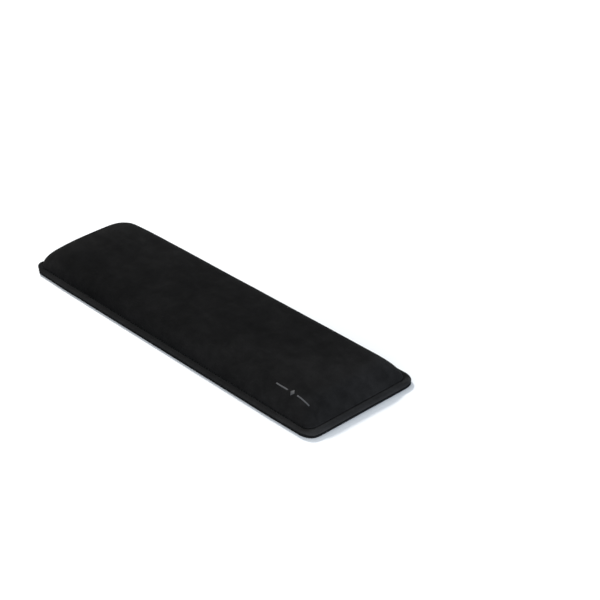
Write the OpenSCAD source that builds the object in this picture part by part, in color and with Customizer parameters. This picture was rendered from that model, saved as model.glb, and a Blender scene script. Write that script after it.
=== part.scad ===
// Padded wrist rest for a compact keyboard: a crowned foam bar under a suede-effect
// cover, with a rolled rim, on a stiffener board and an anti-slip rubber base.
// Origin: centre of the footprint, on the surface it rests on. +X along the bar,
// +Y towards the keyboard, +Z up.

/* [Footprint] */
// Length of the bar over the rim
rest_l = 363; // [300:1:460]
// Depth of the bar, front to back, over the rim
rest_d = 104.5; // [80:0.5:120]
// Corner radius of the rim in plan
corner_r = 11.5; // [11:0.5:20]

/* [Crown] */
// Total height of the bar at the middle of the crown
rest_h = 22; // [16:0.5:28]
// Height of the gentle dome on top of the crown's shoulder
dome_h = 2.5; // [1:0.5:4]
// Width of the shoulder, from the groove inward
shoulder_w = 12.5; // [9:0.5:18]
// Roundness of the shoulder: 1.2 is close to a straight bevel, 2 is a quarter ellipse
shoulder_n = 1.44; // [1.2:0.02:2]
// How fast the plan corners of the crown open up above the groove
corner_growth = 0.95; // [0.3:0.05:1]

/* [Rim] */
// Height of the rolled rim above the resting surface
rim_h = 4.7; // [4.6:0.1:5]
// Distance from the outside of the rim to the groove
groove_in = 4.3; // [4.1:0.1:5]
// Thickness of the binding cloth
binding_t = 0.7; // [0.5:0.05:0.9]
// How far the binding's lip runs inward under the cover
lip_in = 9; // [7:0.5:9]
// Diameter of the sewing thread in the groove
thread_d = 0.44; // [0.3:0.02:0.5]

/* [Layers] */
// Thickness of the suede-effect cover
cover_t = 0.7; // [0.5:0.05:1]
// Thickness of the anti-slip rubber base sheet
base_t = 1.5; // [1.3:0.1:1.6]
// How far the base sheet sits inside the rim
base_in = 0.2; // [0:0.1:1.5]
// Thickness of the adhesive film over the base sheet
base_film_t = 0.2; // [0.1:0.05:0.2]
// Thickness of the stiffener board
board_t = 0.95; // [0.6:0.05:1]
// Thickness of the adhesive film under the foam core
core_film_t = 0.15; // [0.1:0.05:0.2]

/* [Corner mark] */
// Length of the plain ornament near the front right corner
mark_l = 36; // [20:1:44]
// Height of the ornament's middle lozenge
mark_w = 4; // [3:0.5:6]
// Distance from the right end to the ornament
mark_from_end = 16; // [14:1:40]
// Distance from the front edge to the ornament's centre line
mark_from_front = 15; // [12:1:30]
// Thickness of the transfer film
mark_t = 0.15; // [0.1:0.05:0.3]

/* [Hidden] */
$fn = 64;

corner_steps = 10;                      // points round each plan corner of the crown
board_z = base_t + base_film_t;         // underside of the board
lip_z = board_z + board_t + 0.05;       // underside of the binding's lip
lip_top = lip_z + 0.65;                 // top of the lip, where the cover lands
groove_z = lip_top + 0.05 + cover_t;    // bottom of the groove
core_z = board_z + board_t + core_film_t;   // underside of the foam core
bead_r = (rim_h - base_t) / 2;          // radius of the rolled rim
bead_z = base_t + bead_r;               // height of the rim's centre
bead_flat = groove_in - 0.1 - 2 * bead_r;   // straight stretch on top of the rim
rise = rest_h - dome_h - groove_z;      // height of the shoulder above the groove
half_in = rest_d / 2 - groove_in;       // groove to the centre line

// ---- the crown's shape -------------------------------------------------------

// Height of the crown's outer face at a distance s inward from the rim's outside
function crown_z(s) =
    let (u = min(1, max(0, (s - groove_in) / shoulder_w)),
         v = min(1, max(0, (s - groove_in) / half_in)))
    groove_z + rise * pow(max(0, 1 - pow(1 - u, shoulder_n)), 1 / shoulder_n)
             + dome_h * (1 - (1 - v) * (1 - v));

// Inward stations of the crown's rings, close together where it curves most
stations = [for (u = [0.002, 0.012, 0.035, 0.075, 0.13, 0.2, 0.28, 0.37, 0.47, 0.58, 0.7, 0.82, 0.92, 1])
                groove_in + shoulder_w * u,
            for (v = [0.25, 0.5, 0.72, 0.9])
                groove_in + shoulder_w + (half_in - shoulder_w) * v];

// A point of the crown moved inward by t along the surface's own normal
function inset_point(s, t) =
    let (e = 0.004, dz = (crown_z(s + e) - crown_z(s)) / e, n = sqrt(1 + dz * dz))
    [s + t * dz / n, crown_z(s) - t / n];

// Plan corner radius of the ring at s
function ring_r(s) = min(s <= groove_in ? corner_r - s
                                        : corner_r - groove_in + corner_growth * (s - groove_in),
                         rest_d / 2 - s - 0.4);

// One closed ring of points: a rounded rectangle s inside the rim, at height z
function ring(s, z) =
    let (a = rest_l / 2 - s, b = rest_d / 2 - s, r = ring_r(s))
    [for (q = [0:3], i = [0:corner_steps])
        let (t = -90 + 90 * q + 90 * i / corner_steps,
             cx = (q == 0 || q == 1) ? a - r : r - a,
             cy = (q == 1 || q == 2) ? b - r : r - b)
        [cx + r * cos(t), cy + r * sin(t), z]];

// A closed solid through a list of [s, z] rings, capped at the first and the last
module ring_solid(rows) {
    n = 4 * (corner_steps + 1);
    m = len(rows);
    polyhedron(
        points = [for (p = rows) each ring(p[0], p[1])],
        faces = concat(
            [[for (i = [0:n - 1]) i]],
            [for (j = [0:m - 2], i = [0:n - 1]) [j * n + i, (j + 1) * n + i, (j + 1) * n + (i + 1) % n]],
            [for (j = [0:m - 2], i = [0:n - 1]) [j * n + i, (j + 1) * n + (i + 1) % n, j * n + (i + 1) % n]],
            [[for (i = [0:n - 1]) (m - 1) * n + n - 1 - i]]));
}

// Outer face of a body that fills the crown down to height z0, t inside the cover's face
function crown_rows(t, z0) = concat(
    [[groove_in + t, z0]],
    [for (s = stations) let (p = inset_point(s, t)) if (p[1] > z0 + 0.02) p]);

// ---- helpers for the flat layers and the rim ------------------------------------

// A flat layer: the rim's outline moved inward by s
module layer(s, t) {
    a = rest_l / 2 - s;
    b = rest_d / 2 - s;
    r = max(2, corner_r - s);
    linear_extrude(t) union() {
        square([2 * (a - r), 2 * b], center = true);
        square([2 * a, 2 * (b - r)], center = true);
        for (x = [-1, 1], y = [-1, 1]) translate([x * (a - r), y * (b - r)]) circle(r);
    }
}

// Sweeps a profile drawn as (distance inward, height) all the way round the outline
module around() {
    for (q = [0:3]) {
        a = q % 2 == 0 ? rest_l / 2 : rest_d / 2;
        b = q % 2 == 0 ? rest_d / 2 : rest_l / 2;
        rotate([0, 0, 90 * q]) {
            translate([corner_r - a, -b, 0]) rotate([90, 0, 90])
                linear_extrude(2 * (a - corner_r)) children();
            translate([a - corner_r, corner_r - b, 0]) rotate([0, 0, -90])
                rotate_extrude(angle = 90) translate([corner_r, 0]) mirror([1, 0]) children();
        }
    }
}

// Rolled section: two circles and the straight between them
module rolled(r) {
    x = bead_r;
    translate([x, bead_z]) circle(r);
    if (bead_flat > 0.05) {
        translate([x + bead_flat, bead_z]) circle(r);
        translate([x, bead_z - r]) square([bead_flat, 2 * r]);
    }
}

// ---- pieces ---------------------------------------------------------------------

// Suede-effect cover: a thin crowned shell, open underneath
module top_cover() {
    color([0.11, 0.11, 0.11])
    ring_solid(concat(
        [for (i = [len(stations) - 1:-1:0]) let (p = inset_point(stations[i], cover_t))
            if (p[1] > lip_top + 0.1) p],
        [[groove_in + cover_t, lip_top + 0.05], [groove_in, lip_top + 0.05], [groove_in, groove_z - 0.05]],
        [for (s = stations) [s, crown_z(s)]]));
}

// Slow-rebound foam core, stepped at the bottom where it clears the binding's lip
module foam_core() {
    color([0.82, 0.80, 0.74])
    ring_solid(concat(
        [[lip_in + 0.3, core_z], [lip_in + 0.3, lip_top + 0.05]],
        crown_rows(cover_t + 0.05, lip_top + 0.05)));
}

// Edge binding: cloth rolled over the filler, with a lip that runs under the cover
module edge_binding() {
    color([0.17, 0.17, 0.165])
    around() difference() {
        union() {
            rolled(bead_r);
            translate([bead_r + max(0, bead_flat), lip_z]) square([lip_in - bead_r - max(0, bead_flat), 0.65]);
        }
        rolled(bead_r - binding_t);
    }
}

// Filler cord that keeps the rim round
module rim_filler() {
    color([0.75, 0.75, 0.75])
    around() rolled(bead_r - binding_t - 0.05);
}

// Sewing thread that lies in the groove and holds cover and binding together
module seam_thread() {
    color([0.08, 0.08, 0.08])
    around() translate([groove_in - 0.25, groove_z + 0.25]) circle(thread_d / 2, $fn = 24);
}

// Thin board that keeps the bar flat
module stiffener_board() {
    color([0.55, 0.5, 0.42])
    translate([0, 0, board_z]) layer(groove_in + 0.1, board_t);
}

// Adhesive film between the board and the foam core
module core_adhesive() {
    color([0.85, 0.83, 0.7])
    translate([0, 0, board_z + board_t]) layer(lip_in + 0.3, core_film_t);
}

// Adhesive film between the base sheet and the board
module base_adhesive() {
    color([0.85, 0.83, 0.7])
    translate([0, 0, base_t]) layer(groove_in + 0.1, base_film_t);
}

// Anti-slip rubber base sheet
module base_sheet() {
    color([0.06, 0.06, 0.06])
    layer(base_in, base_t);
}

// Plain ornament near the front right corner: two dashes and a lozenge, as a thin
// film that follows the crown
module corner_mark() {
    dash = (mark_l - mark_w * 2.6) / 2;
    x0 = rest_l / 2 - mark_from_end - mark_l;
    y0 = mark_from_front - rest_d / 2;
    color([0.42, 0.42, 0.42])
    intersection() {
        translate([0, 0, groove_z + 1]) linear_extrude(rest_h) {
            translate([x0, y0 - 0.45]) square([dash, 0.9]);
            translate([x0 + mark_l - dash, y0 - 0.45]) square([dash, 0.9]);
            translate([x0 + mark_l / 2, y0]) rotate(45) square(mark_w / sqrt(2), center = true);
        }
        difference() {
            translate([0, 0, mark_t + 0.02]) ring_solid(crown_rows(0, groove_z + 0.1));
            translate([0, 0, 0.02]) ring_solid(crown_rows(0, groove_z + 0.1));
        }
    }
}

top_cover();
foam_core();
edge_binding();
rim_filler();
seam_thread();
stiffener_board();
core_adhesive();
base_adhesive();
base_sheet();
corner_mark();
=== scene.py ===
import math

import bmesh
import bpy
import numpy as np
from mathutils import Matrix, Vector, noise
from mathutils.bvhtree import BVHTree


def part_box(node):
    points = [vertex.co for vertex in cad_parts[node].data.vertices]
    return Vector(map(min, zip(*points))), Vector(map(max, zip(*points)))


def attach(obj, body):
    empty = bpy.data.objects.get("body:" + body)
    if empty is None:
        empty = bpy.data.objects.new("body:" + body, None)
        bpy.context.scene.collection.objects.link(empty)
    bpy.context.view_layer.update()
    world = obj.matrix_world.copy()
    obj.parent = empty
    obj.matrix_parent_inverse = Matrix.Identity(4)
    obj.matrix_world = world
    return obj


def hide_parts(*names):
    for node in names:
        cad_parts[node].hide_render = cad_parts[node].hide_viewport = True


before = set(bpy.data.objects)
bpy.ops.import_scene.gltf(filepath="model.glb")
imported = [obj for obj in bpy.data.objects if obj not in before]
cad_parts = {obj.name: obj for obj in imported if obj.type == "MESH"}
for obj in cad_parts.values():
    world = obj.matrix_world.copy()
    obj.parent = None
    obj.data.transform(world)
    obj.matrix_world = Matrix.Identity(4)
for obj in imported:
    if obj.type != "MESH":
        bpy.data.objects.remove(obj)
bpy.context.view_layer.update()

MM = 0.001

# ---------------------------------------------------------------------------------
# Places, from the CAD boxes (metres)
# ---------------------------------------------------------------------------------
RIM_LO, RIM_HI = (Vector(c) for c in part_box("edge_binding"))
COV_LO, COV_HI = (Vector(c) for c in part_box("top_cover"))
FOAM_LO, FOAM_HI = (Vector(c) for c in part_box("foam_core"))
FIL_LO, FIL_HI = (Vector(c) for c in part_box("rim_filler"))
THR_LO, THR_HI = (Vector(c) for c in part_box("seam_thread"))
BASE_LO, BASE_HI = (Vector(c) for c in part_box("base_sheet"))
BOARD_LO, BOARD_HI = (Vector(c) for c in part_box("stiffener_board"))
MARK_LO, MARK_HI = (Vector(c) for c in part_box("corner_mark"))

HALF_L = RIM_HI.x                       # half length over the rim
HALF_D = RIM_HI.y                       # half depth over the rim
GROOVE = RIM_HI.x - COV_HI.x            # rim's outside to the foot of the crown
TOP = COV_HI.z                          # top of the crown
COVER_FOOT = COV_LO.z                   # underside of the cover's hem
COVER_T = 0.7 * MM
GROOVE_Z = COVER_FOOT + COVER_T         # bottom of the groove
CORNER_R = 11.5 * MM                    # plan radius of the rim's corners
GROWTH = 0.95                           # how fast the crown's plan corners open up
SHOULDER_W = 12.5 * MM
SHOULDER_N = 1.44
DOME = 2.5 * MM


def crown_z(s):
    """Height of the crown a distance s inside the rim's outline."""
    half_in = HALF_D - GROOVE
    u = min(1.0, max(0.0, (s - GROOVE) / SHOULDER_W))
    v = min(1.0, max(0.0, (s - GROOVE) / half_in))
    rise = TOP - DOME - GROOVE_Z
    return GROOVE_Z + rise * max(0.0, 1 - (1 - u) ** SHOULDER_N) ** (1 / SHOULDER_N) + DOME * (1 - (1 - v) ** 2)


def ring_radius(s):
    r = CORNER_R - s if s <= GROOVE else CORNER_R - GROOVE + GROWTH * (s - GROOVE)
    return min(r, HALF_D - s - 0.4 * MM)


def outline(s, r=None, step=2.0 * MM, corner=14):
    """Points and outward normals of the outline moved inward by s, anticlockwise from the front right corner."""
    r = ring_radius(s) if r is None else r
    a, b = HALF_L - s, HALF_D - s
    pts, nrm = [], []
    centres = [(a - r, -b + r, -90), (a - r, b - r, 0), (-a + r, b - r, 90), (-a + r, -b + r, 180)]
    # straight counts are fixed by the rim's own size, so that rings match point for point
    n_long = int(round(2 * (HALF_L - CORNER_R) / step))
    n_short = int(round(2 * (HALF_D - CORNER_R) / step))
    for q, (cx, cy, t0) in enumerate(centres):
        for i in range(corner + 1):
            t = math.radians(t0 + 90 * i / corner)
            pts.append((cx + r * math.cos(t), cy + r * math.sin(t)))
            nrm.append((math.cos(t), math.sin(t)))
        # straight to the next corner
        nx, ny, nt0 = centres[(q + 1) % 4]
        t = math.radians(t0 + 90)
        p0 = Vector((cx + r * math.cos(t), cy + r * math.sin(t)))
        p1 = Vector((nx + r * math.cos(t), ny + r * math.sin(t)))
        n = n_short if q % 2 == 0 else n_long
        for i in range(1, n):
            p = p0.lerp(p1, i / n)
            pts.append((p.x, p.y))
            nrm.append((math.cos(t), math.sin(t)))
    return pts, nrm


def ease(t):
    t = min(1.0, max(0.0, t))
    return t * t * (3 - 2 * t)


def drift(x, y):
    """How far the cushion was sewn from its nominal place: the photographed rim is wider in front and at the right."""
    front = ease((-y - 22 * MM) / (22 * MM))
    left = ease((-x - 90 * MM) / (70 * MM))
    return (-1.15 - 0.15 * x / HALF_L) * MM, (0.88 + 0.10 * left) * front * MM


def corner_shift(nx, ny, x):
    """How far inside (or outside) the nominal outline the photographed edge runs, in front and at the corners."""
    t = math.degrees(math.atan2(ny, nx))
    total = sum(a * math.exp(-((t - c) / w) ** 2) for a, c, w in
                ((0.7, -120, 20), (0.45, -104, 14), (0.2, -74, 16), (-0.40, -36, 18), (-0.6, 42, 18)))
    ends = 0.6 * ease((-x - 130 * MM) / (40 * MM)) + 0.5 * ease((x - 132 * MM) / (38 * MM))
    return (min(1.0, 4.0 * abs(nx * ny)) * total + ends * max(0.0, -ny) ** 2) * MM


def fullness(x, y):
    """How much fuller than the nominal form the photographed crown is, in metres."""
    back = ease((y - 5 * MM) / (30 * MM))
    side = math.exp(-((x + 165 * MM) ** 2 + (y - 10 * MM) ** 2) / (24 * MM) ** 2)
    corner = math.exp(-((x + 160 * MM) ** 2 + (y - 42 * MM) ** 2) / (20 * MM) ** 2)
    tip = math.exp(-((x + 172 * MM) ** 2 + (y + 42 * MM) ** 2) / (8 * MM) ** 2)
    dip = math.exp(-((x + 169 * MM) ** 2 + (y + 26 * MM) ** 2) / (9 * MM) ** 2)
    return (0.36 * back + 0.35 * side - 0.95 * corner + 0.4 * tip - 0.45 * dip) * MM


def mesh_object(name, verts, faces):
    me = bpy.data.meshes.new(name)
    me.from_pydata([tuple(v) for v in verts], [], [tuple(f) for f in faces])
    me.validate()
    me.update()
    o = bpy.data.objects.new(name, me)
    bpy.context.scene.collection.objects.link(o)
    return o


def smooth(o, angle=None):
    for p in o.data.polygons:
        p.use_smooth = True
    if angle is not None:
        o.data.set_sharp_from_angle(angle=math.radians(angle))


def ring_body(name, rows, step=3 * MM):
    """A closed solid through rings [(s, z), ...], capped at both ends."""
    verts, faces = [], []
    n = None
    for s, z in rows:
        pts, _ = outline(s, step=step, corner=12)
        n = len(pts)
        verts += [(x, y, z) for x, y in pts]
    m = len(rows)
    faces.append(list(range(n))[::-1])
    for j in range(m - 1):
        for i in range(n):
            k = (i + 1) % n
            faces.append((j * n + i, j * n + k, (j + 1) * n + k, (j + 1) * n + i))
    faces.append([(m - 1) * n + i for i in range(n)])
    return mesh_object(name, verts, faces)


def baked(o, name):
    """A new mesh object of o with its modifiers applied."""
    dg = bpy.context.evaluated_depsgraph_get()
    dg.update()
    me = bpy.data.meshes.new_from_object(o.evaluated_get(dg), depsgraph=dg)
    me.name = name
    p = bpy.data.objects.new(name, me)
    bpy.context.scene.collection.objects.link(p)
    return p


def remove(o):
    me = o.data
    bpy.data.objects.remove(o)
    if isinstance(me, bpy.types.Mesh) and me.users == 0:
        bpy.data.meshes.remove(me)


def coords(me):
    a = np.empty(len(me.vertices) * 3)
    me.vertices.foreach_get("co", a)
    return a.reshape(-1, 3)


def set_coords(me, a):
    me.vertices.foreach_set("co", np.ascontiguousarray(a, dtype=np.float32).ravel())
    me.update()


# ---------------------------------------------------------------------------------
# The padded crown: remeshed, then swelled by cloth simulation
# ---------------------------------------------------------------------------------
SHRINK = 0.9 * MM       # the pad swells, so it starts this much lower
CAP = 0.30 * MM         # furthest that the simulation's finer shape may move a point

rows = [(GROOVE, -2 * MM), (GROOVE, 1.5 * MM), (GROOVE, GROOVE_Z - 0.3 * MM)]
for u in (0.002, 0.012, 0.03, 0.06, 0.1, 0.15, 0.21, 0.28, 0.36, 0.45, 0.55, 0.65, 0.75, 0.85, 0.93, 1.0):
    s = GROOVE + SHOULDER_W * u
    rows.append((s, crown_z(s) - SHRINK * min(1.0, (s - GROOVE) / (8 * MM))))
for v in np.linspace(0.08, 0.96, 16):
    s = GROOVE + SHOULDER_W + (HALF_D - GROOVE - SHOULDER_W) * v
    rows.append((s, crown_z(s) - SHRINK))
body = ring_body("crown_body", rows)
VOXEL = 3.0 * MM
rm = body.modifiers.new("remesh", "REMESH")
rm.mode = "VOXEL"
rm.voxel_size = VOXEL
rm.adaptivity = 0
sim = baked(body, "crown_sim")
remove(body)


def relax(me, rounds, factor, frozen):
    """Laplacian smoothing of the vertices that aren't frozen."""
    n = len(me.vertices)
    e = np.empty(len(me.edges) * 2, dtype=np.int64)
    me.edges.foreach_get("vertices", e)
    e = e.reshape(-1, 2)
    deg = np.bincount(e.ravel(), minlength=n).astype(float)
    deg[deg == 0] = 1
    c = coords(me)
    for _ in range(rounds):
        acc = np.zeros_like(c)
        for k in range(3):
            acc[:, k] = np.bincount(e[:, 0], c[e[:, 1], k], n) + np.bincount(e[:, 1], c[e[:, 0], k], n)
        avg = acc / deg[:, None]
        step = (avg - c) * factor
        step[frozen] = 0
        c = c + step
    set_coords(me, c)


def spread(me, value, rounds):
    """A value per vertex, averaged with its neighbours again and again."""
    n = len(me.vertices)
    e = np.empty(len(me.edges) * 2, dtype=np.int64)
    me.edges.foreach_get("vertices", e)
    e = e.reshape(-1, 2)
    deg = np.maximum(1, np.bincount(e.ravel(), minlength=n)).astype(float)
    v = value.copy()
    for _ in range(rounds):
        acc = np.bincount(e[:, 0], v[e[:, 1]], n) + np.bincount(e[:, 1], v[e[:, 0]], n)
        v = 0.4 * v + 0.6 * acc / deg
    return v


c0 = coords(sim.data)
relax(sim.data, 2, 0.5, c0[:, 2] < 4.2 * MM)
c0 = coords(sim.data)
n0 = np.empty(len(sim.data.vertices) * 3)
sim.data.vertices.foreach_get("normal", n0)
n0 = n0.reshape(-1, 3)
PIN_Z = 5.5 * MM
vg = sim.vertex_groups.new(name="pin")
for i, z in enumerate(c0[:, 2]):
    w = 1.0 if z < PIN_Z else max(0.0, 1 - (z - PIN_Z) / (2.5 * MM))
    if w > 0:
        vg.add([i], w, "REPLACE")
cl = sim.modifiers.new("cloth", "CLOTH")
st = cl.settings
st.quality = 8
st.mass = 0.25
st.tension_stiffness = 18
st.compression_stiffness = 18
st.shear_stiffness = 8
st.bending_stiffness = 0.6
st.use_pressure = True
st.uniform_pressure_force = 4.0
st.effector_weights.gravity = 0
st.vertex_group_mass = "pin"
cl.collision_settings.use_collision = False
cl.collision_settings.use_self_collision = False
sc = bpy.context.scene
sc.frame_start, sc.frame_end = 1, 20
cl.point_cache.frame_start, cl.point_cache.frame_end = 1, 20
for f in range(1, 21):
    sc.frame_set(f)
dg = bpy.context.evaluated_depsgraph_get()
me = sim.evaluated_get(dg).to_mesh()
c1 = coords(me)
sim.evaluated_get(dg).to_mesh_clear()
sim.modifiers.remove(cl)
sc.frame_set(1)
# the camera's fit fixes the overall form, so the simulation's slow swell is taken out
# again and only its finer shape (pulls, slack and creases) is kept
move = c1 - c0
along_n = (move * n0).sum(axis=1)
trend = spread(sim.data, along_n, 60)
fine = CAP * np.tanh(0.35 * (along_n - trend) / CAP)
side = move - along_n[:, None] * n0
print("cloth: swell %.2f mm, finer shape %.3f mm rms, %.2f mm largest"
      % (1000 * trend.mean(), 1000 * fine.std(), 1000 * np.abs(fine).max()))
c2 = c0 + n0 * fine[:, None] + 0.2 * side
c2[:, 2] += SHRINK * np.clip((c0[:, 2] - GROOVE_Z) / (6 * MM), 0, 1)
set_coords(sim.data, c2)
relax(sim.data, 2, 0.4, c2[:, 2] < 4.2 * MM)
sub = sim.modifiers.new("sub", "SUBSURF")
sub.levels = sub.render_levels = 1
crown = baked(sim, "crown_fine")
remove(sim)

# the slow part of the distance to the fitted form is taken out, and the finer shape stays
ideal = ring_body("ideal", [(GROOVE, -2 * MM), (GROOVE, GROOVE_Z)] + [
    (GROOVE + SHOULDER_W * u, crown_z(GROOVE + SHOULDER_W * u)) for u in
    (0.001, 0.004, 0.01, 0.02, 0.035, 0.055, 0.08, 0.11, 0.15, 0.2, 0.25, 0.31, 0.38, 0.45, 0.52, 0.6, 0.68, 0.76, 0.84, 0.92, 1.0)] + [
    (GROOVE + SHOULDER_W + (HALF_D - GROOVE - SHOULDER_W) * v, crown_z(GROOVE + SHOULDER_W + (HALF_D - GROOVE - SHOULDER_W) * v))
    for v in np.linspace(0.05, 0.97, 20)])
bm = bmesh.new()
bm.from_mesh(ideal.data)
bmesh.ops.recalc_face_normals(bm, faces=bm.faces[:])
ideal_bvh = BVHTree.FromBMesh(bm)
c = coords(crown.data)
off = np.zeros(len(c))
for i in range(len(c)):
    q, qn, _, _ = ideal_bvh.find_nearest(Vector(c[i]))
    off[i] = (Vector(c[i]) - q).dot(qn)
bm.free()
remove(ideal)
nn = np.empty(len(crown.data.vertices) * 3)
crown.data.vertices.foreach_get("normal", nn)
nn = nn.reshape(-1, 3)
slow = spread(crown.data, off, 40)
foot = np.clip((9 * MM - c[:, 2]) / (4 * MM), 0, 1)      # the foot follows the groove closely
slow = slow * (1 - foot) + spread(crown.data, off, 2) * foot
low = c[:, 2] < GROOVE_Z - 1.2 * MM
slow[low] = 0
print("fitted form: off by %.3f mm rms before, %.3f mm after" % (1000 * off[~low].std(), 1000 * (off - slow)[~low].std()))
c = c - nn * slow[:, None]
set_coords(crown.data, c)
crown.data.vertices.foreach_get("normal", nn.ravel())
for i in range(len(c)):
    p = Vector(c[i])
    k = min(1.0, max(0.0, (p.z - 4.2 * MM) / (5 * MM)))
    if k > 0:
        a = noise.noise(Vector((p.x * 24, p.y * 34, 3.1))) * 0.17 * MM + noise.noise(Vector((p.x * 95, p.y * 120, 8.7))) * 0.045 * MM
        c[i] += nn[i] * ((a + fullness(p.x, p.y)) * k)
    dx, dy = drift(p.x, p.y)
    c[i] += (dx, dy, 0)
set_coords(crown.data, c)


def shell_from(o, name, cut_z, inset, thickness):
    """The part of a closed body above cut_z, moved inward by inset, as a shell of that thickness."""
    bm = bmesh.new()
    bm.from_mesh(o.data)
    bmesh.ops.bisect_plane(bm, geom=bm.verts[:] + bm.edges[:] + bm.faces[:], dist=1e-7,
                           plane_co=(0, 0, cut_z), plane_no=(0, 0, 1), clear_inner=True)
    bm.normal_update()
    verts = bm.verts[:]
    for i, v in enumerate(verts):
        v.index = i
    n = len(verts)
    outer, inner = [], []
    for v in verts:
        no = v.normal.copy()
        if v.is_boundary:
            no.z = 0
            no.normalize()
        outer.append(v.co - no * inset)
        inner.append(v.co - no * (inset + thickness))
    faces = [[v.index for v in f.verts] for f in bm.faces]
    allf = faces + [[i + n for i in reversed(f)] for f in faces]
    for e in bm.edges:
        if e.is_boundary:
            l = e.link_loops[0]
            a, b = l.vert.index, l.link_loop_next.vert.index
            allf.append([b, a, a + n, b + n])
    bm.free()
    return mesh_object(name, outer + inner, allf)


cover = shell_from(crown, "suede_cover", COVER_FOOT + 0.02 * MM, 0.0, COVER_T)
smooth(cover)
COVER_BVH = BVHTree.FromObject(cover, bpy.context.evaluated_depsgraph_get())

# Foam core: the same swelled body, moved in under the cover, with a flat stepped bottom
LIP_IN = 9 * MM                         # how far the binding's lip runs inward


def foam_core(src):
    bm = bmesh.new()
    bm.from_mesh(src.data)
    z0 = COVER_FOOT + 0.05 * MM
    bmesh.ops.bisect_plane(bm, geom=bm.verts[:] + bm.edges[:] + bm.faces[:], dist=1e-7,
                           plane_co=(0, 0, z0), plane_no=(0, 0, 1), clear_inner=True)
    bm.normal_update()
    moved = []
    for v in bm.verts:
        no = v.normal.copy()
        if v.is_boundary:
            no.z = 0
            no.normalize()
        moved.append(v.co - no * (COVER_T + 0.08 * MM))
    for v, co in zip(bm.verts, moved):
        v.co = co
        if v.is_boundary:
            v.co.z = z0
    rim = [e for e in bm.edges if e.is_boundary]
    s = LIP_IN + 0.35 * MM
    pts, _ = outline(s, r=max(2 * MM, CORNER_R - s), step=3 * MM, corner=6)
    up = [bm.verts.new((x, y, z0)) for x, y in pts]
    lo = [bm.verts.new((x, y, FOAM_LO.z + 0.01 * MM)) for x, y in pts]
    n = len(pts)
    loop = [bm.edges.new((up[i], up[(i + 1) % n])) for i in range(n)]
    bmesh.ops.triangle_fill(bm, edges=rim + loop, normal=(0, 0, -1), use_beauty=True)
    for i in range(n):
        k = (i + 1) % n
        bm.faces.new((up[i], up[k], lo[k], lo[i]))
    bm.faces.new(lo)
    bmesh.ops.recalc_face_normals(bm, faces=bm.faces[:])
    me = bpy.data.meshes.new("foam_cushion")
    bm.to_mesh(me)
    bm.free()
    o = bpy.data.objects.new("foam_cushion", me)
    bpy.context.scene.collection.objects.link(o)
    return o


foam = foam_core(crown)
smooth(foam, 40)
remove(crown)

# ---------------------------------------------------------------------------------
# Rim: cloth rolled over a filler cord, with a lip that runs in under the cover
# ---------------------------------------------------------------------------------
RIM_PTS, RIM_NRM = outline(0.0, r=CORNER_R, step=1.5 * MM, corner=20)
ARC = [0.0]
for i in range(1, len(RIM_PTS)):
    ARC.append(ARC[-1] + math.dist(RIM_PTS[i - 1], RIM_PTS[i]))
RIM_LEN = ARC[-1] + math.dist(RIM_PTS[-1], RIM_PTS[0])
BEAD_R = (RIM_HI.z - RIM_LO.z) / 2
BEAD_Z = (RIM_HI.z + RIM_LO.z) / 2
BEAD_FLAT = GROOVE - 0.1 * MM - 2 * BEAD_R
LIP_Z0 = BOARD_HI.z + 0.05 * MM
LIP_Z1 = COVER_FOOT - 0.05 * MM
BIND_T = 0.7 * MM


def loop_noise(i, per_m, seed):
    """Smooth noise that closes on itself round the rim."""
    t = 2 * math.pi * ARC[i] / RIM_LEN
    r = per_m * RIM_LEN / (2 * math.pi)
    return noise.noise(Vector((r * math.cos(t) + seed, r * math.sin(t) - seed, seed * 0.37)))


def groove_extra():
    """For each point of the rim, how much further in (or out) the groove lies than its nominal place."""
    pts, _ = outline(GROOVE, r=CORNER_R - GROOVE, step=1.5 * MM, corner=30)
    g = np.array([(x + drift(x, y)[0], y + drift(x, y)[1]) for x, y in pts])
    a, b = g, np.roll(g, -1, axis=0)
    e = b - a
    out = []
    for p, n in zip(RIM_PTS, RIM_NRM):
        d = -np.array(n)
        den = d[0] * e[:, 1] - d[1] * e[:, 0]
        den = np.where(np.abs(den) < 1e-12, 1e-12, den)
        w = a - np.array(p)
        t = (w[:, 0] * e[:, 1] - w[:, 1] * e[:, 0]) / den
        u = (w[:, 0] * d[1] - w[:, 1] * d[0]) / den
        hit = t[(u >= -1e-6) & (u <= 1 + 1e-6) & (t > 0)]
        out.append(max(-1.15 * MM, float(hit.min()) - GROOVE))
    return out


EXTRA = groove_extra()
print("groove: %.2f to %.2f mm from its nominal place" % (1000 * min(EXTRA), 1000 * max(EXTRA)))


def to_groove(i, s):
    """The section's place s, stretched so that the bead ends at the local groove."""
    end = GROOVE - 0.1 * MM
    flat = BEAD_R + BEAD_FLAT
    if s < GROOVE:
        s += corner_shift(*RIM_NRM[i], RIM_PTS[i][0]) * max(0.0, 1 - max(0.0, s) / end)
    if s <= BEAD_R:
        return s
    if s <= flat:
        return s + EXTRA[i] * (s - BEAD_R) / BEAD_FLAT
    if s <= end:
        return flat + BEAD_R * (1 - (1 - (s - flat) / BEAD_R) ** 1.5) + EXTRA[i]
    return s + EXTRA[i] * max(0.0, 1 - (s - end) / (LIP_IN - 1.2 * MM - end))


def stadium(r, a0, a1, n):
    """Points of the rolled section from angle a0 to a1 (degrees, 180 is outward, 90 is up)."""
    out = []
    for i in range(n + 1):
        a = math.radians(a0 + (a1 - a0) * i / n)
        cx = BEAD_R + (BEAD_FLAT if math.cos(a) > 0 else 0)
        out.append((cx + r * math.cos(a), BEAD_Z + r * math.sin(a)))
    return out


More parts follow.
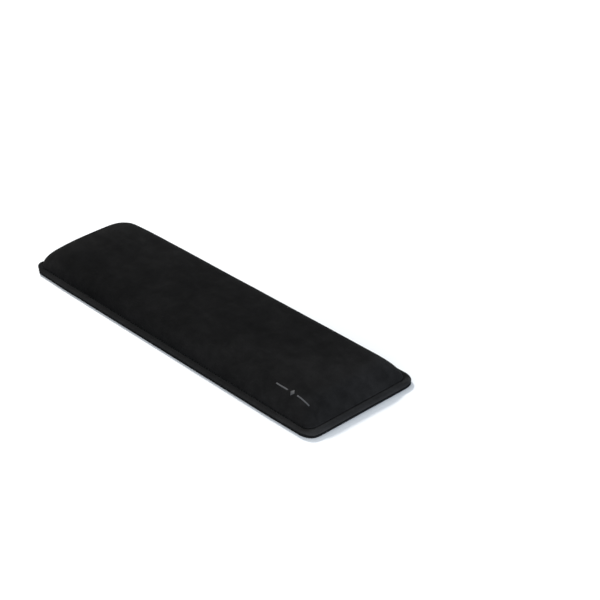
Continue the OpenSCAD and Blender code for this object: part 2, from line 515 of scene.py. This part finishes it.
def sweep(name, section, shape=None, closed=True):
    """Sweeps a closed section [(s, z), ...] round the rim."""
    n, m = len(RIM_PTS), len(section)
    verts, faces = [], []
    for i in range(n):
        (x, y), (nx, ny) = RIM_PTS[i], RIM_NRM[i]
        for j, (s, z) in enumerate(section):
            if shape:
                s, z = shape(i, j, s, z)
            verts.append((x - nx * s, y - ny * s, z))
    for i in range(n):
        k = (i + 1) % n
        for j in range(m):
            l = (j + 1) % m
            faces.append((i * m + j, i * m + l, k * m + l, k * m + j))
    return verts, faces


def join_parts(name, parts):
    verts, faces = [], []
    for v, f in parts:
        o = len(verts)
        verts += v
        faces += [tuple(i + o for i in q) for q in f]
    return mesh_object(name, verts, faces)


def is_corner(i):
    nx, ny = RIM_NRM[i]
    return min(1.0, 4.0 * abs(nx * ny))


STITCH = 3.0 * MM
N_STITCH = int(round((RIM_LEN - 2 * math.pi * GROOVE) / STITCH))


def tilt(i):
    """How far the bead's top falls (or climbs, at the right end) on its way in to the groove."""
    nx, ny = RIM_NRM[i]
    right = ease(nx * 1.2)
    return (0.80 - 1.15 * right - 0.5 * front_left(i)) * MM


def front_left(i):
    nx, ny = RIM_NRM[i]
    return min(1.0, 3.0 * nx * ny) if nx < 0 and ny < 0 else 0.0


def rim_shape(i, j, s, z):
    """Small unevenness of a rolled, sewn edge; none at the lip."""
    if s > GROOVE:
        return to_groove(i, s), z
    up = min(1.0, max(0.0, (z - RIM_LO.z) / (2 * BEAD_R)))
    out = min(1.0, max(0.0, 1 - s / (2 * BEAD_R)))
    s2 = s + out * up * (loop_noise(i, 22, 5.3) * 0.10 + loop_noise(i, 90, 1.9) * 0.04) * MM
    z2 = z + up * (loop_noise(i, 18, 2.1) * 0.10 + loop_noise(i, 110, 7.7) * 0.035) * MM
    # the seam pulls the inner side down between the needle holes, and gathers the cloth at the corners
    inner = max(0.0, min(1.0, (s - 1.1 * MM) / (3.0 * MM)))
    phase = math.cos(2 * math.pi * N_STITCH * ARC[i] / RIM_LEN)
    z2 += up * (0.6 * front_left(i) * MM - inner * (tilt(i) + 0.06 * phase * MM))
    g = is_corner(i)
    if g > 0:
        z2 += up * g * 0.05 * MM * math.sin(2 * math.pi * ARC[i] / (1.7 * MM) + 3 * s / MM)
    return to_groove(i, s2), z2


def void_shape(i, j, s, z):
    """The cord's tunnel follows the bead, without its smallest unevenness."""
    up = min(1.0, max(0.0, (z - RIM_LO.z) / (2 * BEAD_R)))
    inner = max(0.0, min(1.0, (s - 1.1 * MM) / (3.0 * MM)))
    return to_groove(i, s), z + up * (0.6 * front_left(i) * MM - inner * tilt(i))


lip_join = BEAD_R + BEAD_FLAT + math.sqrt(max(0.0, BEAD_R ** 2 - (LIP_Z1 - BEAD_Z) ** 2))
a_top = math.degrees(math.asin((LIP_Z1 - BEAD_Z) / BEAD_R))
a_bot = math.degrees(math.asin((LIP_Z0 - BEAD_Z) / BEAD_R))
outer = [(LIP_IN, LIP_Z1), (6.5 * MM, LIP_Z1), (lip_join + 0.4 * MM, LIP_Z1)]
outer += stadium(BEAD_R, a_top, 360 + a_bot, 44)
outer += [(lip_join + 0.4 * MM, LIP_Z0), (6.5 * MM, LIP_Z0), (LIP_IN, LIP_Z0)]
inner = stadium(BEAD_R - BIND_T, 360, 360 * (1 / 24), 23)
binding = join_parts("rolled_binding", [sweep("outer", outer, rim_shape), sweep("inner", inner, void_shape)])
bm = bmesh.new()
bm.from_mesh(binding.data)
bmesh.ops.recalc_face_normals(bm, faces=bm.faces[:])
bm.to_mesh(binding.data)
bm.free()
smooth(binding, 50)


def cord_shape(i, j, s, z):
    cx = BEAD_R + BEAD_FLAT / 2
    a = math.atan2(z - BEAD_Z, s - cx)
    turns = round(RIM_LEN / (5 * MM))
    k = 0.90 + 0.06 * math.cos(3 * a - 2 * math.pi * turns * ARC[i] / RIM_LEN)
    return void_shape(i, j, cx + (s - cx) * k, BEAD_Z + (z - BEAD_Z) * k)


filler = join_parts("braided_filler", [sweep("cord", stadium(BEAD_R - BIND_T - 0.05 * MM, 0, 345, 23), cord_shape)])
bm = bmesh.new()
bm.from_mesh(filler.data)
bmesh.ops.recalc_face_normals(bm, faces=bm.faces[:])
bm.to_mesh(filler.data)
bm.free()
smooth(filler)

# Stitches: one short run of thread after another along the groove
THREAD_R = (THR_HI.z - THR_LO.z) / 2
THREAD_Z = (THR_HI.z + THR_LO.z) / 2
thread_s = RIM_HI.x - THR_HI.x + THREAD_R
path, pn = outline(thread_s, r=CORNER_R - thread_s, step=0.5 * MM, corner=30)
path = [(x + drift(x, y)[0], y + drift(x, y)[1]) for x, y in path]
plen = [0.0]
for i in range(1, len(path) + 1):
    plen.append(plen[-1] + math.dist(path[i - 1], path[i % len(path)]))


def along(t):
    """Point and direction at distance t along the groove."""
    t %= plen[-1]
    i = int(np.searchsorted(plen, t, side="right")) - 1
    a, b = Vector(path[i % len(path)]), Vector(path[(i + 1) % len(path)])
    f = (t - plen[i]) / max(1e-9, plen[i + 1] - plen[i])
    return a.lerp(b, f), (b - a).normalized()


verts, faces = [], []
count = int(round(plen[-1] / STITCH))
pitch = plen[-1] / count
SEG = 8
for q in range(count):
    mid = (q + 0.5) * pitch
    run = pitch * 0.80
    jitter = 0.05 * MM * noise.noise(Vector((q * 0.7, 4.4, 1.3)))
    base = len(verts)
    rings = 7
    for i in range(rings):
        t = i / (rings - 1) * 2 - 1
        p, d = along(mid + t * run / 2)
        side = Vector((-d.y, d.x))
        p = p + side * (0.12 * MM + jitter + 0.03 * MM * t)
        r = THREAD_R * (0.35 + 0.65 * math.sqrt(max(0.0, 1 - t ** 6)))
        lift = 0.28 * MM * ease(d.y * 1.2)          # the bead stands higher at the right end
        z = THREAD_Z + lift - 0.16 * MM * abs(t) ** 3
        for k in range(SEG):
            a = 2 * math.pi * k / SEG
            verts.append((p.x + side.x * r * math.cos(a), p.y + side.y * r * math.cos(a), z + r * math.sin(a)))
    for i in range(rings - 1):
        for k in range(SEG):
            l = (k + 1) % SEG
            faces.append((base + i * SEG + k, base + i * SEG + l, base + (i + 1) * SEG + l, base + (i + 1) * SEG + k))
    faces.append(tuple(base + k for k in reversed(range(SEG))))
    faces.append(tuple(base + (rings - 1) * SEG + k for k in range(SEG)))
stitches = mesh_object("groove_stitches", verts, faces)
bm = bmesh.new()
bm.from_mesh(stitches.data)
bmesh.ops.recalc_face_normals(bm, faces=bm.faces[:])
bm.to_mesh(stitches.data)
bm.free()
smooth(stitches, 60)


# ---------------------------------------------------------------------------------
# Base sheet: eased edges, and a moulded grip pattern of small square pads underneath
# ---------------------------------------------------------------------------------
def base_sheet():
    bm = bmesh.new()
    s = HALF_L - BASE_HI.x
    e = 0.25 * MM
    zt, zb = BASE_HI.z, BASE_LO.z
    loops = []
    for ds, z in ((e, zt), (0, zt - e), (0, zb + e), (e, zb)):
        pts, nrm = outline(s + ds, r=CORNER_R - s - ds, step=6 * MM, corner=14)
        loops.append([bm.verts.new((x - nx * corner_shift(nx, ny, x), y - ny * corner_shift(nx, ny, x), z))
                      for (x, y), (nx, ny) in zip(pts, nrm)])
    n = len(loops[0])
    for a, b in zip(loops[:-1], loops[1:]):
        for i in range(n):
            k = (i + 1) % n
            bm.faces.new((a[i], b[i], b[k], a[k]))
    bm.faces.new(loops[0])
    # grip pads
    depth, pitch, gap, bev = 0.35 * MM, 4.0 * MM, 0.8 * MM, 0.15 * MM

    def lines(half):
        cells = int((half - 4.2 * MM) * 2 / pitch)
        start = -cells * pitch / 2
        out = [(start - gap / 2 - bev, True)]
        for i in range(cells):
            x = start + i * pitch
            out += [(x - gap / 2 + bev if i else x - gap / 2, False), (x + gap / 2 - bev, False), (x + gap / 2, True), (x + pitch - gap / 2, True)]
        x = start + cells * pitch
        out += [(x - gap / 2 + bev, False), (x + gap / 2, False), (x + gap / 2 + bev, True)]
        clean = [out[0]]
        for p in out[1:]:
            if p[0] - clean[-1][0] > 1e-6:
                clean.append(p)
        return clean

    xs, ys = lines(HALF_L - s), lines(HALF_D - s)
    grid = []
    for i, (x, hx) in enumerate(xs):
        col = []
        for j, (y, hy) in enumerate(ys):
            edge = i in (0, len(xs) - 1) or j in (0, len(ys) - 1)
            z = zb if edge or (hx and hy) else zb + depth
            col.append(bm.verts.new((x, y, z)))
        grid.append(col)
    for i in range(len(xs) - 1):
        for j in range(len(ys) - 1):
            bm.faces.new((grid[i][j], grid[i][j + 1], grid[i + 1][j + 1], grid[i + 1][j]))
    ring = []
    for i in range(len(xs) - 1):
        ring += [(grid[i][0], grid[i + 1][0]), (grid[i][-1], grid[i + 1][-1])]
    for j in range(len(ys) - 1):
        ring += [(grid[0][j], grid[0][j + 1]), (grid[-1][j], grid[-1][j + 1])]
    edges = [bm.edges.get(p) for p in ring]
    last = loops[-1]
    edges += [bm.edges.get((last[i], last[(i + 1) % n])) for i in range(n)]
    bmesh.ops.triangle_fill(bm, edges=edges, normal=(0, 0, -1), use_beauty=True)
    bmesh.ops.recalc_face_normals(bm, faces=bm.faces[:])
    me = bpy.data.meshes.new("rubber_base")
    bm.to_mesh(me)
    bm.free()
    o = bpy.data.objects.new("rubber_base", me)
    bpy.context.scene.collection.objects.link(o)
    smooth(o, 30)
    return o


base = base_sheet()


# ---------------------------------------------------------------------------------
# Plain ornament: two dashes and a lozenge of thin film, laid on the cover
# ---------------------------------------------------------------------------------
def drop(x, y):
    hit = COVER_BVH.ray_cast(Vector((x, y, 0.1)), Vector((0, 0, -1)))
    return hit[0], hit[1]


def film(name, shapes, t=0.12 * MM, lift=0.03 * MM):
    verts, faces = [], []
    for quad in shapes:                 # each shape: a grid of (x, y) points [rows][cols]
        rws, cls = len(quad), len(quad[0])
        base = len(verts)
        for top in (True, False):
            for row in quad:
                for x, y in row:
                    p, no = drop(x, y)
                    p = p + no * (lift + (t if top else 0))
                    verts.append(tuple(p))
        m = rws * cls
        for r in range(rws - 1):
            for k in range(cls - 1):
                a, b, c_, d_ = (base + r * cls + k, base + r * cls + k + 1, base + (r + 1) * cls + k + 1, base + (r + 1) * cls + k)
                faces.append((a, b, c_, d_))
                faces.append((d_ + m, c_ + m, b + m, a + m))
        border = [base + k for k in range(cls)] + [base + r * cls + cls - 1 for r in range(1, rws)]
        border += [base + (rws - 1) * cls + k for k in range(cls - 2, -1, -1)] + [base + r * cls for r in range(rws - 2, 0, -1)]
        for i in range(len(border)):
            a, b = border[i], border[(i + 1) % len(border)]
            faces.append((b, a, a + m, b + m))
    return mesh_object(name, verts, faces)


mx0, mx1, my = MARK_LO.x, MARK_HI.x, (MARK_LO.y + MARK_HI.y) / 2
mw = MARK_HI.y - MARK_LO.y
ml = mx1 - mx0
dash = (ml - mw * 2.6) / 2


def bar(xa, xb, half, n=24):
    return [[(xa + (xb - xa) * i / n, my + half * w) for i in range(n + 1)] for w in (-1, -0.33, 0.33, 1)]


def lozenge(cx, half, n=6):
    out = []
    for i in range(n + 1):
        u = 2 * i / n - 1
        out.append([(cx + half * (u - (2 * k / n - 1)) / 2 * 1.0, my + half * (u + (2 * k / n - 1)) / 2) for k in range(n + 1)])
    return out


mark = film("corner_ornament", [bar(mx0, mx0 + dash, 0.45 * MM), bar(mx1 - dash, mx1, 0.45 * MM), lozenge(mx0 + ml / 2, mw / 2)])
bm = bmesh.new()
bm.from_mesh(mark.data)
bmesh.ops.recalc_face_normals(bm, faces=bm.faces[:])
bm.to_mesh(mark.data)
bm.free()
smooth(mark, 40)


# ---------------------------------------------------------------------------------
# Materials
# ---------------------------------------------------------------------------------
class Nodes:
    """A short way to write node trees."""

    def __init__(self, name):
        self.m = bpy.data.materials.new(name)
        self.m.use_nodes = True
        self.t = self.m.node_tree
        self.t.nodes.clear()
        self.out = self.t.nodes.new("ShaderNodeOutputMaterial")
        self.bsdf = self.t.nodes.new("ShaderNodeBsdfPrincipled")
        self.t.links.new(self.bsdf.outputs[0], self.out.inputs[0])
        self.co = self.t.nodes.new("ShaderNodeTexCoord").outputs["Object"]

    def link(self, a, b):
        self.t.links.new(a, b)

    def map(self, scale, rot=(0, 0, 0), src=None):
        n = self.t.nodes.new("ShaderNodeMapping")
        n.inputs["Scale"].default_value = scale
        n.inputs["Rotation"].default_value = rot
        self.link(src or self.co, n.inputs["Vector"])
        return n.outputs[0]

    def noise(self, scale, detail=3, rough=0.5, distortion=0.0, vec=None):
        n = self.t.nodes.new("ShaderNodeTexNoise")
        n.inputs["Scale"].default_value = scale
        n.inputs["Detail"].default_value = detail
        n.inputs["Roughness"].default_value = rough
        n.inputs["Distortion"].default_value = distortion
        self.link(vec or self.co, n.inputs["Vector"])
        return n.outputs["Fac"]

    def voronoi(self, scale, feature="F1", vec=None, out="Distance"):
        n = self.t.nodes.new("ShaderNodeTexVoronoi")
        n.feature = feature
        n.inputs["Scale"].default_value = scale
        self.link(vec or self.co, n.inputs["Vector"])
        return n.outputs[out]

    def math(self, op, a, b=0.0, clamp=False):
        n = self.t.nodes.new("ShaderNodeMath")
        n.operation = op
        n.use_clamp = clamp
        for i, v in enumerate((a, b)):
            if isinstance(v, (int, float)):
                n.inputs[i].default_value = v
            else:
                self.link(v, n.inputs[i])
        return n.outputs[0]

    def add(self, *terms):
        """Weighted sum of (value, weight) pairs."""
        total = None
        for v, w in terms:
            x = self.math("MULTIPLY", v, w)
            total = x if total is None else self.math("ADD", total, x)
        return total

    def ramp(self, fac, stops):
        n = self.t.nodes.new("ShaderNodeValToRGB")
        r = n.color_ramp
        while len(r.elements) > 1:
            r.elements.remove(r.elements[-1])
        r.elements[0].position, r.elements[0].color = stops[0][0], (*stops[0][1], 1)
        for p, col in stops[1:]:
            e = r.elements.new(p)
            e.color = (*col, 1)
        self.link(fac, n.inputs[0])
        return n.outputs[0]

    def span(self, fac, lo, hi, a=0.0, b=1.0):
        n = self.t.nodes.new("ShaderNodeMapRange")
        n.clamp = True
        for k, v in (("From Min", lo), ("From Max", hi), ("To Min", a), ("To Max", b)):
            n.inputs[k].default_value = v
        self.link(fac, n.inputs["Value"])
        return n.outputs["Result"]

    def mix(self, fac, a, b, mode="MIX"):
        n = self.t.nodes.new("ShaderNodeMix")
        n.data_type = "RGBA"
        n.blend_type = mode
        if isinstance(fac, (int, float)):
            n.inputs[0].default_value = fac
        else:
            self.link(fac, n.inputs[0])
        for i, v in ((6, a), (7, b)):
            if isinstance(v, tuple):
                n.inputs[i].default_value = (*v, 1)
            else:
                self.link(v, n.inputs[i])
        return n.outputs[2]

    def bump(self, height, distance, strength=1.0, prev=None):
        n = self.t.nodes.new("ShaderNodeBump")
        n.inputs["Distance"].default_value = distance
        n.inputs["Strength"].default_value = strength
        self.link(height, n.inputs["Height"])
        if prev is not None:
            self.link(prev, n.inputs["Normal"])
        return n.outputs[0]

    def set(self, **kw):
        for k, v in kw.items():
            s = self.bsdf.inputs[k.replace("_", " ")]
            if isinstance(v, bpy.types.NodeSocket):
                self.link(v, s)
            elif isinstance(v, tuple) and len(v) == 3:
                s.default_value = (*v, 1)
            else:
                s.default_value = v
        return self.m


def suede(name, dark, mid, light, seed, sheen, patch=1.0, groove_shade=None, painted_light_drift=None, front_low_shade=None, rim_end_light=None, foot_end_light=None):
    """Short-napped suede-effect microfibre: patches of brushing, fibre clumps and a fine fuzz, with optional painted
    shade and painted light multiplied into its colour.
    """
    k = Nodes(name)
    off = k.t.nodes.new("ShaderNodeVectorMath")
    off.operation = "ADD"
    off.inputs[1].default_value = (seed, seed * 0.7, seed * 0.3)
    k.link(k.co, off.inputs[0])
    base = off.outputs[0]
    cloud = k.noise(11, 3, 0.55, 0.6, vec=base)
    stroke = k.noise(26, 4, 0.6, 1.1, vec=k.map((0.55, 1.5, 1), (0, 0, math.radians(24)), base))
    mottle = k.noise(95, 4, 0.6, 0.4, vec=base)
    clump = k.noise(900, 3, 0.6, 0.2, vec=base)
    fuzz = k.noise(3200, 2, 0.7, 0.0, vec=k.map((1.0, 0.45, 1), (0, 0, math.radians(-18)), base))
    nap = k.add((cloud, 0.28 * patch), (stroke, 0.30 * patch), (mottle, 0.32), (clump, 0.10), (fuzz, 0.06))
    total = 0.58 * patch + 0.48
    tone = k.span(nap, 0.38 * total, 0.62 * total)
    col = k.ramp(tone, [(0.0, dark), (0.5, mid), (1.0, light)])
    speck = k.span(fuzz, 0.35, 0.7, 0.82, 1.2)
    grain = k.t.nodes.new("ShaderNodeCombineColor")
    for i in range(3):
        k.link(speck, grain.inputs[i])
    col = k.mix(1.0, col, grain.outputs[0], "MULTIPLY")
    sep = k.t.nodes.new("ShaderNodeSeparateXYZ")
    k.link(k.co, sep.inputs[0])

    def shade(col, amount):
        grey = k.t.nodes.new("ShaderNodeCombineColor")
        for i in range(3):
            k.link(amount, grey.inputs[i])
        return k.mix(1.0, col, grey.outputs[0], "MULTIPLY")

    if groove_shade:
        # painted shade: the cover is darkened just above the groove's bottom, where the groove's shade falls
        col = shade(col, k.span(sep.outputs["Z"], groove_shade[0], groove_shade[1], groove_shade[2], 1.0))
    if painted_light_drift:
        # painted light: the colour is lightened towards the back and towards both ends, most near the left end, and
        # darkened again near the right end's edge, standing in for how light and sheen fall
        col = shade(col, k.span(sep.outputs["X"], -HALF_L, HALF_L, *painted_light_drift[0]))
        col = shade(col, k.span(sep.outputs["Y"], -HALF_D, HALF_D, *painted_light_drift[1]))
        col = shade(col, k.span(sep.outputs["X"], -HALF_L + 6 * MM, -HALF_L + 40 * MM, painted_light_drift[2], 1.0))
        col = shade(col, k.span(sep.outputs["X"], HALF_L - 120 * MM, HALF_L - 35 * MM, 1.0, painted_light_drift[3]))
        col = shade(col, k.span(sep.outputs["X"], HALF_L - 18 * MM, HALF_L - 10 * MM, 1.0, 0.82))
    if front_low_shade:
        # painted shade: the lower part of the rim's front is darkened down to the base sheet, where the floor's bounce
        # light is shaded
        wz = k.span(sep.outputs["Z"], front_low_shade[0], front_low_shade[1], front_low_shade[2], 0.0)
        wy = k.span(sep.outputs["Y"], -HALF_D + 2 * MM, -HALF_D + 6 * MM, 1.0, 0.0)
        col = shade(col, k.math("SUBTRACT", 1.0, k.math("MULTIPLY", wz, wy)))
    if rim_end_light:
        # painted light: the inner half of the rim's top at the right end is lightened, where the side light falls
        up = k.span(sep.outputs["X"], HALF_L - 6.8 * MM, HALF_L - 4.0 * MM, 0.0, rim_end_light)
        dn = k.span(sep.outputs["X"], HALF_L - 3.2 * MM, HALF_L - 0.6 * MM, 1.0, 0.0)
        side = k.span(sep.outputs["Y"], -HALF_D + 3 * MM, -HALF_D + 13 * MM, 0.2, 1.0)
        col = shade(col, k.math("ADD", 1.0, k.math("MULTIPLY", k.math("MULTIPLY", up, dn), side)))
        # painted light: the rim's front is lightened too towards the right end
        wx = k.span(sep.outputs["X"], HALF_L - 50 * MM, HALF_L - 8 * MM, 0.0, 0.33)
        wy = k.span(sep.outputs["Y"], -HALF_D + 12 * MM, -2 * MM, 1.0, 0.0)
        col = shade(col, k.math("ADD", 1.0, k.math("MULTIPLY", wx, wy)))
    if foot_end_light:
        # painted light: the cover just above the groove is lightened at the right end, where the side light falls
        wz = k.span(sep.outputs["Z"], GROOVE_Z, GROOVE_Z + 1.5 * MM, foot_end_light, 0.0)
        wx = k.span(sep.outputs["X"], HALF_L - 12 * MM, HALF_L - 8 * MM, 0.0, 1.0)
        col = shade(col, k.math("ADD", 1.0, k.math("MULTIPLY", wz, wx)))
    rough = k.span(nap, 0.35 * total, 0.65 * total, 1.0, 0.86)
    fine = k.bump(k.add((clump, 0.55), (fuzz, 0.45)), 0.22 * MM, 0.55)
    soft = k.bump(k.add((mottle, 0.6), (stroke, 0.4)), 0.5 * MM, 0.35, fine)
    k.set(Base_Color=col, Roughness=rough, Normal=soft, Specular_IOR_Level=0.03, Diffuse_Roughness=0.8,
          Sheen_Weight=sheen, Sheen_Roughness=0.40, Sheen_Tint=(0.62, 0.62, 0.64))
    return k.m


M = {}
# the cover carries painted shade above the groove, and painted light along its length and at the right end's foot
M["cover_suede"] = suede("cover_suede", (0.0035, 0.0033, 0.0032), (0.0056, 0.0053, 0.0051), (0.0089, 0.0084, 0.0081), 0.0, 0.020,
                         groove_shade=(GROOVE_Z, GROOVE_Z + 1.0 * MM, 0.68), painted_light_drift=((0.93, 1.06), (0.88, 1.26), 2.25, 1.20), foot_end_light=1.35)
# the rim carries painted shade low on its front and painted light at the right end
M["rim_suede"] = suede("rim_suede", (0.0080, 0.0076, 0.0074), (0.0110, 0.0105, 0.0101), (0.0150, 0.0143, 0.0138), 0.7, 0.040, patch=0.6,
                       front_low_shade=(RIM_LO.z + 0.9 * MM, RIM_LO.z + 2.0 * MM, 0.85), rim_end_light=0.95)

k = Nodes("foam")
cells = k.voronoi(1100, "SMOOTH_F1")
pores = k.span(cells, 0.12, 0.5)
wash = k.noise(40, 3)
k.set(Base_Color=k.mix(k.span(wash, 0.35, 0.65), (0.56, 0.52, 0.40), (0.63, 0.59, 0.47)), Roughness=0.95,
      Normal=k.bump(pores, 0.35 * MM, 0.7), Specular_IOR_Level=0.2)
M["foam"] = k.m

k = Nodes("filler")
strand = k.noise(1500, 3, 0.6, 0.0, k.map((0.2, 0.2, 1)))
k.set(Base_Color=k.ramp(strand, [(0.3, (0.30, 0.30, 0.29)), (0.7, (0.46, 0.46, 0.45))]), Roughness=0.9,
      Normal=k.bump(strand, 0.12 * MM, 0.6), Specular_IOR_Level=0.2)
M["filler"] = k.m

k = Nodes("thread")
twist = k.noise(2600, 2, 0.6, 0.0, k.map((1, 1, 2.2)))
k.set(Base_Color=k.ramp(twist, [(0.3, (0.0022, 0.0022, 0.0023)), (0.7, (0.0055, 0.0055, 0.0056))]), Roughness=0.75,
      Normal=k.bump(twist, 0.06 * MM, 0.6), Specular_IOR_Level=0.12, Sheen_Weight=0.015)
M["thread"] = k.m

k = Nodes("board")
fibre = k.noise(260, 5, 0.7, 0.3, k.map((0.3, 1, 1)))
k.set(Base_Color=k.ramp(fibre, [(0.3, (0.22, 0.17, 0.11)), (0.7, (0.36, 0.29, 0.20))]), Roughness=0.85,
      Normal=k.bump(fibre, 0.08 * MM, 0.5))
M["board"] = k.m

k = Nodes("adhesive")
smear = k.noise(120, 4, 0.6, 1.5)
k.set(Base_Color=k.ramp(smear, [(0.35, (0.50, 0.46, 0.32)), (0.65, (0.62, 0.58, 0.43))]), Roughness=k.span(smear, 0.3, 0.7, 0.25, 0.5),
      Normal=k.bump(smear, 0.05 * MM, 0.5))
M["adhesive"] = k.m

k = Nodes("base_rubber")
pit = k.noise(2200, 3, 0.65)
worn = k.noise(30, 3, 0.5, 0.4)
k.set(Base_Color=k.ramp(k.add((worn, 0.7), (pit, 0.3)), [(0.35, (0.0016, 0.0016, 0.0017)), (0.65, (0.0034, 0.0034, 0.0035))]),
      Roughness=k.span(worn, 0.3, 0.7, 0.62, 0.82), Normal=k.bump(pit, 0.06 * MM, 0.5), Specular_IOR_Level=0.08)
M["base_rubber"] = k.m

k = Nodes("mark_film")
fray = k.noise(2600, 2, 0.6)
fade = k.noise(160, 3, 0.5)
k.set(Base_Color=k.ramp(k.add((fray, 0.5), (fade, 0.5)), [(0.35, (0.020, 0.020, 0.021)), (0.55, (0.036, 0.036, 0.037)), (0.7, (0.055, 0.055, 0.056))]),
      Roughness=k.span(fade, 0.3, 0.7, 0.45, 0.65), Normal=k.bump(fray, 0.05 * MM, 0.4))
M["mark_film"] = k.m


def wear(o, mat):
    o.data.materials.clear()
    o.data.materials.append(mat)


def dress(o, node, slot):
    wear(o, M[slot])
    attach(o, "root")
    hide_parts(node)


dress(cover, "top_cover", "cover_suede")
dress(foam, "foam_core", "foam")
dress(binding, "edge_binding", "rim_suede")
dress(filler, "rim_filler", "filler")
dress(stitches, "seam_thread", "thread")
dress(base, "base_sheet", "base_rubber")
dress(mark, "corner_mark", "mark_film")

for node, slot in (("stiffener_board", "board"), ("core_adhesive", "adhesive"), ("base_adhesive", "adhesive")):
    wear(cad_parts[node], M[slot])

# ---------------------------------------------------------------------------------
# Floor, light and camera
# ---------------------------------------------------------------------------------
floor = mesh_object("floor", [(-4, -4, -0.0002), (4, -4, -0.0002), (4, 4, -0.0002), (-4, 4, -0.0002)], [(0, 1, 2, 3)])
k = Nodes("floor_white")
k.set(Base_Color=k.ramp(k.noise(3, 2), [(0.3, (0.90, 0.90, 0.90)), (0.7, (0.915, 0.915, 0.915))]), Roughness=0.9, Specular_IOR_Level=0.1)
wear(floor, k.m)

world = bpy.data.worlds.new("studio")
bpy.context.scene.world = world
world.use_nodes = True
bg = world.node_tree.nodes["Background"]
bg.inputs[0].default_value = (0.87, 0.935, 1.0, 1)
bg.inputs[1].default_value = 0.61


def area(name, pos, target, size, power, color, size_y=None):
    li = bpy.data.lights.new(name, "AREA")
    li.shape = "RECTANGLE"
    li.size, li.size_y = size, size_y or size
    li.energy = power
    li.color = color
    o = bpy.data.objects.new(name, li)
    bpy.context.scene.collection.objects.link(o)
    o.location = pos
    o.rotation_euler = (Vector(target) - Vector(pos)).to_track_quat("-Z", "Y").to_euler()
    return o


area("key", (-1.04, 0.37, 1.07), (0, 0, 0), 0.14, 20.2, (1.0, 0.975, 0.94))
area("side", (1.6, -0.30, 0.13), (0.1, 0, 0.02), 1.0, 48, (0.76, 0.86, 1.0), 0.24)
area("front", (-0.2, -1.7, 0.20), (0, 0, 0.02), 1.6, 14, (1.0, 0.99, 0.97), 0.3)

# camera: matched to the keyboard's keys in the photograph's frame
cam_data = bpy.data.cameras.new("camera")
cam = bpy.data.objects.new("camera", cam_data)
bpy.context.scene.collection.objects.link(cam)
AZ, EL, ROLL, FPX, DIST = 0.9061630, 0.5255193, -0.0798506, 1612.906, 1.298890
TARGET = Vector((0.0264904, 0.0714637, 0.0))
back = Vector((math.sin(AZ) * math.cos(EL), -math.cos(AZ) * math.cos(EL), math.sin(EL)))
right0 = Vector((math.cos(AZ), math.sin(AZ), 0))
up0 = back.cross(right0)
right = right0 * math.cos(ROLL) + up0 * math.sin(ROLL)
up = up0 * math.cos(ROLL) - right0 * math.sin(ROLL)
half_px = 0.5 / FPX * DIST               # pixel centres against pixel corners
TARGET += (up - right) * half_px
cam.matrix_world = Matrix((
    (right.x, up.x, back.x, TARGET.x + back.x * DIST),
    (right.y, up.y, back.y, TARGET.y + back.y * DIST),
    (right.z, up.z, back.z, TARGET.z + back.z * DIST),
    (0, 0, 0, 1)))
cam_data.sensor_fit = "HORIZONTAL"
cam_data.sensor_width = 36
cam_data.lens = FPX / 600 * 36
cam_data.clip_start, cam_data.clip_end = 0.05, 20
bpy.context.scene.camera = cam

vs = bpy.context.scene.view_settings
vs.view_transform = "Standard"
vs.look = "None"
vs.exposure = 0
vs.gamma = 1
